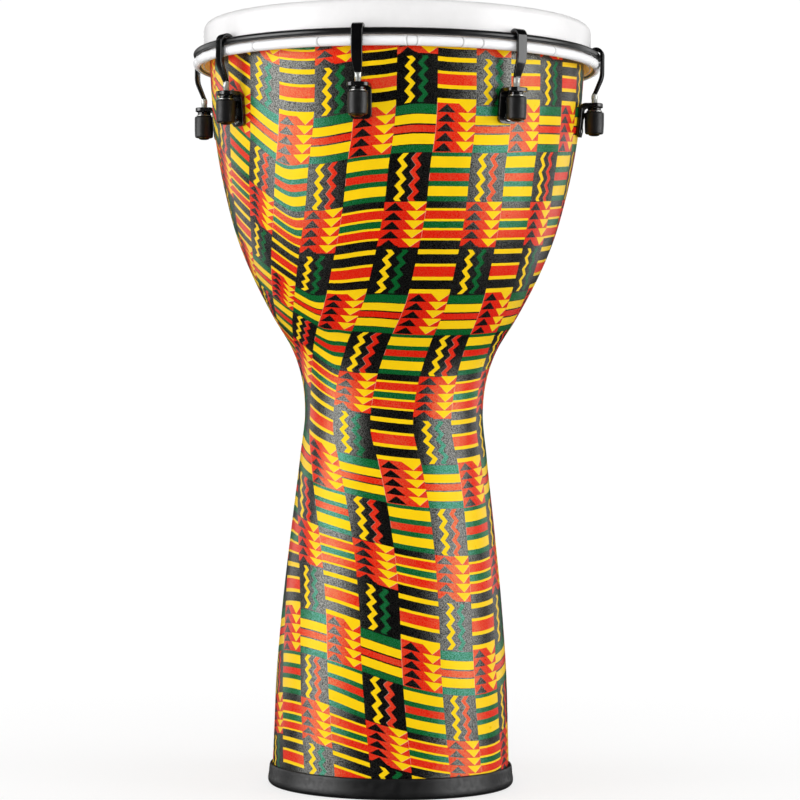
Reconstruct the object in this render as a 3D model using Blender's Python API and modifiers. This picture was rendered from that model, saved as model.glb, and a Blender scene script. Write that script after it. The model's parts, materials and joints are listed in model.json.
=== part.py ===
"""Djembe with a goblet shell, a wrapped synthetic head and eight tuning lugs.

Metres, +Z up. The floor is z = 0, the drum's axis is Z and its front faces -Y.
Lug 1 is the one just left of the front; the others follow anticlockwise from above.
"""
import math

import bpy
import bmesh
from mathutils import Matrix, Vector

# Shell: outside radius at each height, from the base to the bearing edge.
SHELL_OUTLINE = [
    (0.0030, 0.0955), (0.0460, 0.0941), (0.0824, 0.0929), (0.1430, 0.0884),
    (0.2036, 0.0820), (0.2641, 0.0751), (0.3005, 0.0717), (0.3247, 0.0743),
    (0.3489, 0.0824), (0.3732, 0.0970), (0.4095, 0.1159), (0.4338, 0.1260),
    (0.4701, 0.1365), (0.5186, 0.1458), (0.5614, 0.1498), (0.6050, 0.1515),
]
WALL = 0.0062
RIM_TOP = 0.6085
OUTSIDE_STEPS = 25
INSIDE_STEPS = 15

# Lugs, evenly spaced; the first one's angle is measured from the front towards +X.
LUGS = 8
FIRST_LUG = math.radians(-10.5)
FACETS = 56
ROD_OFFSET = 0.1600
ROD_RADIUS = 0.0025
THREAD_PITCH = 0.0008
GAP = 0.0003

# Bracket: an L of flat bar on the shell, with its flange under the hook.
PLATE_THICKNESS = 0.0030
PLATE_HALF_WIDTH = 0.0085
PLATE_BOTTOM = 0.5196
PLATE_LEAN = math.radians(5.3)
PLATE_MIDDLE_AT_BOTTOM = 0.1479
FLANGE_MIDDLE = 0.5442
FLANGE_TIP = 0.1665
BEND_RADIUS = 0.0040
ROD_HOLE = 0.0030
UPPER_BOLT = 0.5366
LOWER_BOLT = 0.5243
BOLT_SHANK = 0.0020
BOLT_HOLE = 0.0023

# Head parts.
HEAD_TOP = 0.6096
FILM = 0.0008
CORNER = 0.0070
COLLAR_RADIUS = 0.1558
COLLAR_BOTTOM = 0.5750
ROLL_RADIUS = 0.1600
ROLL_HEIGHT = 0.5767
HOOP_RADIUS = 0.1612
HOOP_HEIGHT = 0.5840
HOOP_ROD = 0.0027
HOOK_ROOM = 0.0007

COLOURS = {
    "printed_shell": ((0.52, 0.06, 0.02), 0.38, 0.0),
    "foot_rubber": ((0.012, 0.012, 0.012), 0.75, 0.0),
    "head_film": ((0.80, 0.80, 0.78), 0.45, 0.0),
    "hem_film": ((0.78, 0.77, 0.73), 0.50, 0.0),
    "plain_steel": ((0.55, 0.55, 0.56), 0.35, 1.0),
    "black_steel": ((0.015, 0.015, 0.016), 0.25, 0.0),
    "bright_bolt": ((0.70, 0.70, 0.71), 0.20, 1.0),
    "sleeve_rubber": ((0.020, 0.020, 0.021), 0.60, 0.0),
    "brass_nut": ((0.66, 0.52, 0.30), 0.30, 1.0),
}


def clear_scene():
    for obj in list(bpy.data.objects):
        bpy.data.objects.remove(obj, do_unlink=True)


def new_collection(name, hidden=False):
    collection = bpy.data.collections.new(name)
    collection.hide_render = hidden
    bpy.context.scene.collection.children.link(collection)
    return collection


def material(name):
    colour, roughness, metallic = COLOURS[name]
    found = bpy.data.materials.get(name)
    if found is None:
        found = bpy.data.materials.new(name)
        found.use_nodes = True
        shader = found.node_tree.nodes["Principled BSDF"]
        shader.inputs["Base Color"].default_value = (*colour, 1.0)
        shader.inputs["Roughness"].default_value = roughness
        shader.inputs["Metallic"].default_value = metallic
        found.diffuse_color = (*colour, 1.0)
    return found


def new_object(name, mesh, collection, surface=None):
    obj = bpy.data.objects.new(name, mesh)
    collection.objects.link(obj)
    if surface:
        mesh.materials.append(material(surface))
    return obj


def turned(name, outline, facets, surface, collection, closed=True, turn=0.0):
    """A round piece about its own Z, from (radius, height) points down the outside."""
    mesh = bpy.data.meshes.new(name)
    points = [(radius, 0.0, height) for radius, height in outline]
    edges = [(i, i + 1) for i in range(len(points) - 1)]
    if closed:
        edges.append((len(points) - 1, 0))
    mesh.from_pydata(points, edges, [])
    obj = new_object(name, mesh, collection, surface)
    obj.rotation_euler.z = turn
    screw = obj.modifiers.new("Turn", "SCREW")
    screw.axis = "Z"
    screw.angle = math.tau
    screw.steps = facets
    screw.render_steps = facets
    screw.use_merge_vertices = True
    screw.merge_threshold = 0.00002
    screw.use_smooth_shade = True
    return obj


def even_shading(obj):
    normals = obj.modifiers.new("Normals", "WEIGHTED_NORMAL")
    normals.weight = 80


def loft(name, rings, collection, surface, smooth=True):
    """A closed body through rings of points that all hold the same number."""
    mesh = bpy.data.meshes.new(name)
    body = bmesh.new()
    rows = [[body.verts.new(point) for point in ring] for ring in rings]
    count = len(rows[0])
    for lower, upper in zip(rows, rows[1:]):
        for i in range(count):
            j = (i + 1) % count
            body.faces.new((lower[i], lower[j], upper[j], upper[i]))
    body.faces.new(rows[0][::-1])
    body.faces.new(rows[-1])
    bmesh.ops.recalc_face_normals(body, faces=body.faces)
    body.to_mesh(mesh)
    body.free()
    for face in mesh.polygons:
        face.use_smooth = smooth
    return new_object(name, mesh, collection, surface)


def rod_between(body, start, end, radius, sides):
    """Adds a closed round bar to a bmesh, for use as a cutter."""
    along = end - start
    turn = along.to_track_quat("Z", "Y").to_matrix().to_4x4()
    place = Matrix.Translation((start + end) / 2) @ turn
    bmesh.ops.create_cone(
        body, cap_ends=True, segments=sides, radius1=radius, radius2=radius,
        depth=along.length, matrix=place,
    )


def cut(obj, cutter):
    boolean = obj.modifiers.new("Holes", "BOOLEAN")
    boolean.operation = "DIFFERENCE"
    boolean.solver = "EXACT"
    boolean.object = cutter


def curve_through(stations, steps):
    """Points at even spacing along a smooth curve through (height, radius) stations."""
    ends = [2 * Vector(stations[0]) - Vector(stations[1])]
    knots = ends + [Vector(s) for s in stations]
    knots.append(2 * knots[-1] - knots[-2])
    fine = []
    for a, b, c, d in zip(knots, knots[1:], knots[2:], knots[3:]):
        for i in range(12):
            t = i / 12
            fine.append(0.5 * (2 * b + (c - a) * t + (2 * a - 5 * b + 4 * c - d) * t * t
                               + (3 * b - a - 3 * c + d) * t ** 3))
    fine.append(knots[-2])
    reach = [0.0]
    for a, b in zip(fine, fine[1:]):
        reach.append(reach[-1] + (b - a).length)
    result = []
    for k in range(steps + 1):
        wanted = reach[-1] * k / steps
        i = max(n for n in range(len(fine)) if reach[n] <= wanted + 1e-9)
        i = min(i, len(fine) - 2)
        share = (wanted - reach[i]) / (reach[i + 1] - reach[i])
        result.append(fine[i].lerp(fine[i + 1], share))
    return result


def radius_at(height):
    """The shell's outside radius at a height."""
    points = curve_through(SHELL_OUTLINE, 200)
    for low, high in zip(points, points[1:]):
        if low.x <= height <= high.x:
            return low.y + (high.y - low.y) * (height - low.x) / (high.x - low.x)
    raise ValueError("height is off the shell")


def lug_angle(number):
    """A lug's direction as an angle about Z from +X."""
    return FIRST_LUG - math.pi / 2 + number * math.tau / LUGS


def shell_outline():
    outside = curve_through(SHELL_OUTLINE, OUTSIDE_STEPS)
    inside = curve_through(SHELL_OUTLINE, INSIDE_STEPS)
    top = outside[-1].y
    points = [(top - 0.0033, RIM_TOP), (top - 0.0012, RIM_TOP - 0.0008)]
    points += [(p.y, p.x) for p in reversed(outside)]
    points += [(p.y - WALL, p.x) for p in inside[:-1]]
    points += [(top - WALL, 0.6000), (top - WALL + 0.0008, RIM_TOP - 0.0012)]
    return points


def build_shell(parts, cutters):
    facet_turn = lug_angle(0) + math.pi / FACETS
    shell = turned("shell", shell_outline(), FACETS, "printed_shell", parts, turn=facet_turn)
    body = bmesh.new()
    for number in range(LUGS):
        turn = Matrix.Rotation(lug_angle(number), 3, "Z")
        for height in (UPPER_BOLT, LOWER_BOLT):
            seat, out = bolt_seat(height)
            seat = seat + Vector((ROD_OFFSET, 0, 0))
            rod_between(body, turn @ (seat - 0.0160 * out), turn @ (seat + 0.0030 * out),
                        BOLT_HOLE, 10)
    mesh = bpy.data.meshes.new("shell_bolt_holes")
    body.to_mesh(mesh)
    body.free()
    cutter = new_object("shell_bolt_holes", mesh, cutters)
    cutter.hide_render = True
    cutter.display_type = "WIRE"
    cut(shell, cutter)


def build_foot_ring(parts):
    inner = SHELL_OUTLINE[0][1] + GAP
    outline = [
        (inner + 0.0010, 0.0166), (0.0976, 0.0150), (0.0981, 0.0090), (0.0988, 0.0050),
        (0.0986, 0.0024), (0.0972, 0.0006), (0.0955, 0.0000), (0.0890, 0.0000),
        (0.0880, 0.0010), (0.0880, 0.0027), (inner, 0.0027), (inner - 0.00005, 0.0166),
    ]
    ring = turned("foot_ring", outline, FACETS, "foot_rubber", parts,
                  turn=lug_angle(0) + math.pi / FACETS)
    even_shading(ring)


def build_head(parts):
    turn = lug_angle(0) + math.pi / FACETS
    flat = COLLAR_RADIUS - CORNER
    middle = HEAD_TOP - CORNER
    outline = [(0.0, HEAD_TOP), (flat * 0.5, HEAD_TOP), (flat, HEAD_TOP)]
    for degrees in (67.5, 45, 22.5, 0):
        a = math.radians(degrees)
        outline.append((flat + CORNER * math.cos(a), middle + CORNER * math.sin(a)))
    outline.append((COLLAR_RADIUS, COLLAR_BOTTOM))
    outline.append((COLLAR_RADIUS - FILM, COLLAR_BOTTOM))
    for degrees in (0, 30, 60, 90):
        a = math.radians(degrees)
        inner = CORNER - FILM
        outline.append((flat + inner * math.cos(a), middle + inner * math.sin(a)))
    outline.append((0.0, HEAD_TOP - FILM))
    film = turned("drumhead", outline, FACETS, "head_film", parts, closed=False, turn=turn)
    even_shading(film)

    outer = []
    inner = []
    for i in range(10):
        a = math.radians(-115 + 322 * i / 9 + 10)
        outer.append((ROLL_RADIUS + 0.0037 * math.cos(a), ROLL_HEIGHT + 0.0043 * math.sin(a)))
    for i in range(8):
        a = math.radians(-115 + 322 * i / 7 + 10)
        inner.append((ROLL_RADIUS + 0.0030 * math.cos(a), ROLL_HEIGHT + 0.0035 * math.sin(a)))
    turned("head_hem", outer[::-1] + inner, FACETS, "hem_film", parts, turn=turn)

    core = []
    for i in range(6):
        a = math.radians(90 - 60 * i)
        core.append((ROLL_RADIUS + 0.0024 * math.cos(a), ROLL_HEIGHT + 0.0028 * math.sin(a)))
    turned("flesh_hoop", core, FACETS, "plain_steel", parts, turn=turn)

    rod = []
    for i in range(9):
        a = math.radians(90 - 40 * i)
        rod.append((HOOP_RADIUS + HOOP_ROD * math.cos(a), HOOP_HEIGHT + HOOP_ROD * math.sin(a)))
    turned("counter_hoop", rod, FACETS, "black_steel", parts, turn=turn)


def bracket_path():
    """(point, outward normal, half width) along the bar's middle, in the lug's frame."""
    lean = Vector((math.sin(PLATE_LEAN), 0, math.cos(PLATE_LEAN)))
    start = Vector((PLATE_MIDDLE_AT_BOTTOM - ROD_OFFSET, 0, PLATE_BOTTOM))
    centre_z = FLANGE_MIDDLE - BEND_RADIUS
    climb = (centre_z + BEND_RADIUS * math.sin(PLATE_LEAN) - PLATE_BOTTOM) / lean.z
    right = Vector((math.cos(PLATE_LEAN), 0, -math.sin(PLATE_LEAN)))
    centre = start + lean * climb + right * BEND_RADIUS
    steps = []
    corner = 0.0040
    for share in (0.0, 0.12, 0.45, 1.0):
        along = corner * share
        half = PLATE_HALF_WIDTH - corner + math.sqrt(corner ** 2 - (corner - along) ** 2)
        steps.append((start + lean * along, right, half))
    steps.append((start + lean * climb, right, PLATE_HALF_WIDTH))
    for i in range(1, 5):
        a = PLATE_LEAN + (math.pi / 2 - PLATE_LEAN) * i / 4
        normal = Vector((math.cos(a), 0, -math.sin(a)))
        steps.append((centre - normal * BEND_RADIUS, normal, PLATE_HALF_WIDTH))
    tip = FLANGE_TIP - ROD_OFFSET
    corner = 0.0060
    for share in (1.0, 0.6, 0.3, 0.1, 0.0):
        along = corner * share
        half = PLATE_HALF_WIDTH - corner + math.sqrt(corner ** 2 - (corner - along) ** 2)
        steps.append((Vector((tip - along, 0, FLANGE_MIDDLE)), Vector((0, 0, -1)), half))
    return steps


def bolt_seat(height):
    """The middle of the plate's outer face at a height, and its outward normal."""
    right = Vector((math.cos(PLATE_LEAN), 0, -math.sin(PLATE_LEAN)))
    across = PLATE_MIDDLE_AT_BOTTOM - ROD_OFFSET
    across += (height - PLATE_BOTTOM) * math.tan(PLATE_LEAN)
    return Vector((across, 0, height)) + right * PLATE_THICKNESS / 2, right


def build_bracket(number, place, parts, cutters):
    rings = []
    for point, normal, half in bracket_path():
        out = normal * PLATE_THICKNESS / 2
        side = Vector((0, half, 0))
        rings.append([point + out + side, point + out - side,
                      point - out - side, point - out + side])
    bracket = loft(f"lug_bracket_{number}", rings, parts, "black_steel", smooth=False)
    bracket.parent = place
    body = bmesh.new()
    rod_between(body, Vector((0, 0, 0.5380)), Vector((0, 0, 0.5480)), ROD_HOLE, 14)
    for height in (UPPER_BOLT, LOWER_BOLT):
        seat, out = bolt_seat(height)
        rod_between(body, seat - 0.0060 * out, seat + 0.0020 * out, BOLT_HOLE, 10)
    mesh = bpy.data.meshes.new(f"bracket_holes_{number}")
    body.to_mesh(mesh)
    body.free()
    cutter = new_object(f"bracket_holes_{number}", mesh, cutters)
    cutter.hide_render = True
    cutter.display_type = "WIRE"
    cutter.parent = place
    cut(bracket, cutter)


def build_bolt(name, height, place, parts):
    outline = [
        (0.0, 0.0009 + GAP), (0.0022, 0.0008 + GAP), (0.0033, 0.0004 + GAP),
        (0.0035, GAP), (BOLT_SHANK, GAP), (BOLT_SHANK, -0.0082), (0.0, -0.0086),
    ]
    bolt = turned(name, outline, 10, "bright_bolt", parts, closed=False)
    seat, out = bolt_seat(height)
    bolt.parent = place
    bolt.location = seat
    bolt.rotation_euler = out.to_track_quat("Z", "Y").to_euler()
    even_shading(bolt)


def hook_section(point, along, half_width, half_depth, roundness):
    """Eight points: a flat bar with eased edges, or a round rod as roundness nears 1."""
    across = Vector((0, 1, 0))
    out = across.cross(along).normalized()
    ease = 0.0008
    flat = [
        (half_width, half_depth - ease), (half_width - ease, half_depth),
        (-half_width + ease, half_depth), (-half_width, half_depth - ease),
        (-half_width, -half_depth + ease), (-half_width + ease, -half_depth),
        (half_width - ease, -half_depth), (half_width, -half_depth + ease),
    ]
    ring = []
    for i, (y, x) in enumerate(flat):
        a = math.radians(22.5 + 45 * i)
        round_y = ROD_RADIUS * math.cos(a)
        round_x = ROD_RADIUS * math.sin(a)
        mixed_y = y + (round_y - y) * roundness
        mixed_x = x + (round_x - x) * roundness
        ring.append(point + across * mixed_y + out * mixed_x)
    return ring


def build_hook(number, place, parts):
    origin_z = 0.5530
    thick = 0.0028
    middle = HOOP_ROD + HOOK_ROOM + thick / 2
    hoop_x = HOOP_RADIUS - ROD_OFFSET
    steps = []
    for i in range(8):
        a = math.radians(142 - 142 * i / 7)
        point = Vector((hoop_x + middle * math.cos(a), 0, HOOP_HEIGHT + middle * math.sin(a)))
        along = Vector((math.sin(a), 0, -math.cos(a)))
        half = 0.00435 if i else 0.0036
        steps.append((point, along, half, thick / 2, 0.0))
    leg_x = hoop_x + middle
    slant = Vector((-leg_x, 0, -0.0140)).normalized()
    down = Vector((0, 0, -1))
    steps.append((Vector((leg_x, 0, 0.5680)), (down * 2 + slant).normalized(), 0.00435, thick / 2, 0))
    steps.append((Vector((leg_x - 0.0006, 0, 0.5658)), slant, 0.0042, thick / 2, 0.0))
    steps.append((Vector((leg_x * 0.52, 0, 0.5592)), slant, 0.0034, thick / 2, 0.0))
    steps.append((Vector((0.0004, 0, 0.5540)), (down + slant).normalized(), 0.0027, thick / 2, 0.2))
    steps.append((Vector((0.0, 0, 0.5520)), down, 0.0025, thick / 2, 1.0))
    steps.append((Vector((0.0, 0, 0.5268)), down, 0.0025, thick / 2, 1.0))
    rings = []
    for point, along, half, depth, roundness in steps:
        point = point - Vector((0, 0, origin_z))
        rings.append(hook_section(point, along, half, depth, roundness))
    low = Vector((0, 0, 0.5262 - origin_z))
    rings.append([low + (p - Vector((0, 0, p.z))) * 0.75 for p in rings[-1]])
    hook = loft(f"tuning_hook_{number}", rings, parts, "black_steel")
    hook.parent = place
    hook.location.z = origin_z
    even_shading(hook)


def build_nut(number, place, parts):
    origin_z = 0.5310
    bore = ROD_RADIUS + 0.0001
    outline = [
        (0.0, 0.5228), (bore, 0.5228), (bore, 0.5424), (0.0051, 0.5424), (0.0053, 0.5421),
        (0.0053, 0.5402), (0.0062, 0.5401), (0.0062, 0.5391), (0.0048, 0.5390),
        (0.0048, 0.5212), (0.0038, 0.5203), (0.0, 0.5199),
    ]
    nut = turned(f"tuning_nut_{number}", [(r, z - origin_z) for r, z in outline], 16,
                 "brass_nut", parts, closed=False)
    nut.parent = place
    nut.location.z = origin_z
    even_shading(nut)
    outline = [
        (0.0070, 0.5387), (0.0077, 0.5380), (0.0073, 0.5224), (0.0066, 0.5215),
        (0.0051, 0.5215), (0.0051, 0.5387),
    ]
    sleeve = turned(f"nut_sleeve_{number}", [(r, z - origin_z) for r, z in outline], 16,
                    "sleeve_rubber", parts)
    sleeve.parent = place
    sleeve.location.z = origin_z
    even_shading(sleeve)


def build_lug(index, parts, cutters):
    number = index + 1
    angle = lug_angle(index)
    place = bpy.data.objects.new(f"lug_{number}_frame", None)
    place.empty_display_size = 0.01
    place.location = (ROD_OFFSET * math.cos(angle), ROD_OFFSET * math.sin(angle), 0.0)
    place.rotation_euler.z = angle
    parts.objects.link(place)
    build_bracket(number, place, parts, cutters)
    build_bolt(f"upper_bolt_{number}", UPPER_BOLT, place, parts)
    build_bolt(f"lower_bolt_{number}", LOWER_BOLT, place, parts)
    build_hook(number, place, parts)
    build_nut(number, place, parts)


def main():
    clear_scene()
    parts = new_collection("djembe")
    cutters = new_collection("djembe_cutters", hidden=True)
    build_shell(parts, cutters)
    build_foot_ring(parts)
    build_head(parts)
    for index in range(LUGS):
        build_lug(index, parts, cutters)
    bpy.context.view_layer.update()


main()
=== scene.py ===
"""Looks for the djembe: a printed goblet shell, a wrapped synthetic head and eight tuning lugs.

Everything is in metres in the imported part's frame. Z is the drum's axis and -Y its front.
Angles called theta are degrees round the drum from the front towards +X.
"""
import json
import math

import bmesh
import bpy
import numpy as np
from mathutils import Matrix, Vector


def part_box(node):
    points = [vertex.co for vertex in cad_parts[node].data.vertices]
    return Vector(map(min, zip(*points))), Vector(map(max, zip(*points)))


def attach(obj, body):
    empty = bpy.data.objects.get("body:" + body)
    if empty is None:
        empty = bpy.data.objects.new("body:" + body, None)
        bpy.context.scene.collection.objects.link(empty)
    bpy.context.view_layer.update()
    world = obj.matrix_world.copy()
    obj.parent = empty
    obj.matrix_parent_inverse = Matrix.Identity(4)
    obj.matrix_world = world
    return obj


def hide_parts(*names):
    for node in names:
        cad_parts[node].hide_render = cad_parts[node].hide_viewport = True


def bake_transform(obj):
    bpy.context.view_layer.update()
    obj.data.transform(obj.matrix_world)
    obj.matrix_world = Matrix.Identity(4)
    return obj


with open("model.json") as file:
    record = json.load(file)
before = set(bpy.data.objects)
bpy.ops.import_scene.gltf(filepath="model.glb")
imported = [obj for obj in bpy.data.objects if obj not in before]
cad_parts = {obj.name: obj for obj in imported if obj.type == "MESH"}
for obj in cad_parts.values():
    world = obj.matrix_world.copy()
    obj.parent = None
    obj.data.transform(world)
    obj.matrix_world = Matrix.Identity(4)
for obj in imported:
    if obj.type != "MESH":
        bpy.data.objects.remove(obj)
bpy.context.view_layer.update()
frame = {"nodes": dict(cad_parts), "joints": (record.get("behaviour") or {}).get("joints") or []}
MM = 0.001

# The turned shell: (share of its height, share of its rim radius) up the outside.
SHELL_SHAPE = [
    (0.0000, 0.6304), (0.0714, 0.6211), (0.1319, 0.6132), (0.2326, 0.5835),
    (0.3332, 0.5413), (0.4337, 0.4957), (0.4942, 0.4733), (0.5344, 0.4904),
    (0.5746, 0.5439), (0.6150, 0.6403), (0.6753, 0.7650), (0.7156, 0.8317),
    (0.7759, 0.9010), (0.8565, 0.9624), (0.9276, 0.9888), (1.0000, 1.0000),
]
RIM_EASE = 3.5 * MM
WALL = 6.2 * MM
WRAP = 0.25 * MM
WRAP_PANELS = 5
WRAP_COLUMNS = 52
WRAP_ROWS = 170

# The print. A tile is two columns wide and is measured downwards from its top edge.
TILE_HEIGHT = 0.137
ROW_HEIGHTS = (0.5470, 0.4762, 0.4077, 0.3435, 0.2813, 0.2142, 0.1498, 0.0767, 0.0130)
FIRST_ROW = 0.158
HALF_TILE = 0.4985
COLUMN_EDGE = [
    (0.017, -0.0150), (0.066, -0.0205), (0.103, -0.0235), (0.147, -0.0258), (0.180, -0.0292),
    (0.216, -0.0352), (0.260, -0.0454), (0.284, -0.0518), (0.318, -0.0490), (0.349, -0.0396),
    (0.382, -0.0250), (0.4135, -0.0168), (0.455, -0.0088), (0.489, -0.0052), (0.510, -0.0020),
    (0.530, -0.0006), (0.567, 0.0), (0.610, 0.0005),
]
# Where the cloth settled unevenly: (height, spread up and down, mm lower at the left, at the right).
SETTLED = [
    (0.434, 0.020, 0.0, 1.3), (0.362, 0.036, -6.6, 0.0), (0.340, 0.025, 0.0, -3.4),
    (0.222, 0.022, -3.2, -1.0), (0.157, 0.020, -0.6, 1.2), (0.086, 0.024, -5.0, -2.0),
]
WIDTH_LEFT = [(0.0, 0.060), (0.170, 0.060), (0.260, 0.067), (0.455, 0.064), (0.610, 0.064)]
WIDTH_RIGHT = [(0.0, 0.0635), (0.170, 0.0635), (0.260, 0.067), (0.455, 0.0638), (0.610, 0.0610)]


# ---------------------------------------------------------------- small maths

def screen(red, green, blue):
    """A linear colour from 0-255 screen values."""
    linear = []
    for value in (red, green, blue):
        c = value / 255
        linear.append(c / 12.92 if c <= 0.04045 else ((c + 0.055) / 1.055) ** 2.4)
    return (*linear, 1.0)


def through(stations, at):
    """A smooth curve through (position, value) stations, at one or many positions."""
    x, y = np.array(stations, float).T
    slope = np.gradient(y, x)
    at = np.asarray(at, float)
    i = np.clip(np.searchsorted(x, at) - 1, 0, len(x) - 2)
    step = x[i + 1] - x[i]
    t = np.clip((at - x[i]) / step, 0, 1)
    return ((1 + 2 * t) * (1 - t) ** 2 * y[i] + t * (1 - t) ** 2 * step * slope[i]
            + t * t * (3 - 2 * t) * y[i + 1] + t * t * (t - 1) * step * slope[i + 1])


def smoothstep(x, start, end):
    t = np.clip((x - start) / (end - start), 0, 1)
    return t * t * (3 - 2 * t)


def ramp(x, start, end, ease):
    """0 before start, then rising by 1 for each 1 of x up to end, with eased corners."""
    return ease * (np.logaddexp(0, (x - start) / ease) - np.logaddexp(0, (x - end) / ease))


def settle(x, start, room):
    """x where it is positive, levelling off within a room beyond start."""
    x = np.maximum(x, 0)
    return np.where(x > start, start + room * np.tanh((x - start) / room), x)


def eased(outline, radius, steps=4, closed=False):
    """The outline with its corners rounded off."""
    points = [Vector(p) for p in outline]
    count = len(points)
    result = []
    for i, corner in enumerate(points):
        if not closed and i in (0, count - 1):
            result.append(corner)
            continue
        before = points[i - 1] - corner
        after = points[(i + 1) % count] - corner
        reach = min(radius, before.length * 0.45, after.length * 0.45)
        if before.angle(-after, 0) < 0.15 or reach < 1e-6:
            result.append(corner)
            continue
        start = corner + before.normalized() * reach
        end = corner + after.normalized() * reach
        for k in range(steps + 1):
            t = k / steps
            result.append(start * (1 - t) ** 2 + corner * 2 * t * (1 - t) + end * t * t)
    return result


# ---------------------------------------------------------------- meshes

def new_piece(name, mesh, *materials):
    piece = bpy.data.objects.new(name, mesh)
    bpy.context.scene.collection.objects.link(piece)
    if not mesh.materials:
        for surface in materials:
            mesh.materials.append(surface)
    return piece


def shade(mesh, degrees=40):
    for face in mesh.polygons:
        face.use_smooth = True
    mesh.set_sharp_from_angle(angle=math.radians(degrees))


def grid_mesh(name, rows, around=True, along=False, caps=False, merge=True):
    """A mesh through rows of points; around joins each row's ends, along joins the end rows."""
    rows = np.asarray(rows, float)
    count, width = rows.shape[:2]
    quads = []
    for r in range(count if along else count - 1):
        s = (r + 1) % count
        for c in range(width if around else width - 1):
            d = (c + 1) % width
            quads.append((r * width + c, r * width + d, s * width + d, s * width + c))
    if caps:
        quads.append(tuple(reversed(range(width))))
        quads.append(tuple(range((count - 1) * width, count * width)))
    mesh = bpy.data.meshes.new(name)
    mesh.from_pydata(rows.reshape(-1, 3).tolist(), [], quads)
    tidy_mesh(mesh, 1e-6 if merge else 0.0)
    return mesh


def tidy_mesh(mesh, gap=1e-6):
    """Merges doubled points and turns every face outwards."""
    body = bmesh.new()
    body.from_mesh(mesh)
    bmesh.ops.remove_doubles(body, verts=body.verts, dist=gap)
    bmesh.ops.recalc_face_normals(body, faces=body.faces)
    body.to_mesh(mesh)
    body.free()


def turned(name, outline, facets, closed=True):
    """A round mesh about Z from an outline of (radius, height)."""
    turn = np.linspace(0, math.tau, facets, endpoint=False)
    rows = [[(r * math.cos(a), r * math.sin(a), z) for a in turn] for r, z in outline]
    mesh = grid_mesh(name, rows, along=closed)
    shade(mesh)
    return mesh


def cylinder(body, start, end, radius, sides=40, end_radius=None):
    """Adds a round bar or a cone to a bmesh."""
    along = end - start
    place = Matrix.Translation((start + end) / 2) @ along.to_track_quat("Z", "Y").to_matrix().to_4x4()
    bmesh.ops.create_cone(
        body, cap_ends=True, segments=sides, radius1=radius,
        radius2=radius if end_radius is None else end_radius, depth=along.length, matrix=place,
    )


def drilled(mesh, cutters):
    """The mesh with round holes cut through it."""
    body = bmesh.new()
    for start, end, radius in cutters:
        cylinder(body, start, end, radius)
    tool_mesh = bpy.data.meshes.new("drills")
    body.to_mesh(tool_mesh)
    body.free()
    blank = bpy.data.objects.new("blank", mesh)
    tool = bpy.data.objects.new("drills", tool_mesh)
    for obj in (blank, tool):
        bpy.context.scene.collection.objects.link(obj)
    cut = blank.modifiers.new("Drill", "BOOLEAN")
    cut.operation = "DIFFERENCE"
    cut.object = tool
    bpy.context.view_layer.update()
    graph = bpy.context.evaluated_depsgraph_get()
    result = bpy.data.meshes.new_from_object(blank.evaluated_get(graph))
    for obj in (blank, tool):
        bpy.data.objects.remove(obj)
    shade(result, 35)
    return result


# ---------------------------------------------------------------- material arithmetic

class Field:
    """One output of a material's node tree, so that patterns read as arithmetic."""

    def __init__(self, tree, socket):
        self.tree = tree
        self.socket = socket

    def math(self, operation, *others, clamp=False):
        node = self.tree.nodes.new("ShaderNodeMath")
        node.operation = operation
        node.use_clamp = clamp
        for slot, value in zip(node.inputs, (self, *others)):
            plug(self.tree, value, slot)
        return Field(self.tree, node.outputs[0])

    def __add__(self, other):
        return self.math("ADD", other)

    def __sub__(self, other):
        return self.math("SUBTRACT", other)

    def __rsub__(self, other):
        return (self * -1.0) + other

    def __mul__(self, other):
        return self.math("MULTIPLY", other)

    def __truediv__(self, other):
        return self.math("DIVIDE", other)

    def above(self, other):
        return self.math("GREATER_THAN", other)

    def below(self, other):
        return self.math("LESS_THAN", other)

    def within(self, low, high):
        return self.above(low) * self.below(high)

    def fraction(self):
        return self.math("FRACT")

    def size(self):
        return self.math("ABSOLUTE")

    def power(self, exponent):
        return self.math("POWER", exponent)

    def limited(self):
        return self.math("ADD", 0.0, clamp=True)


def plug(tree, value, slot):
    if isinstance(value, Field):
        tree.links.new(value.socket, slot)
    else:
        slot.default_value = value


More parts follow.
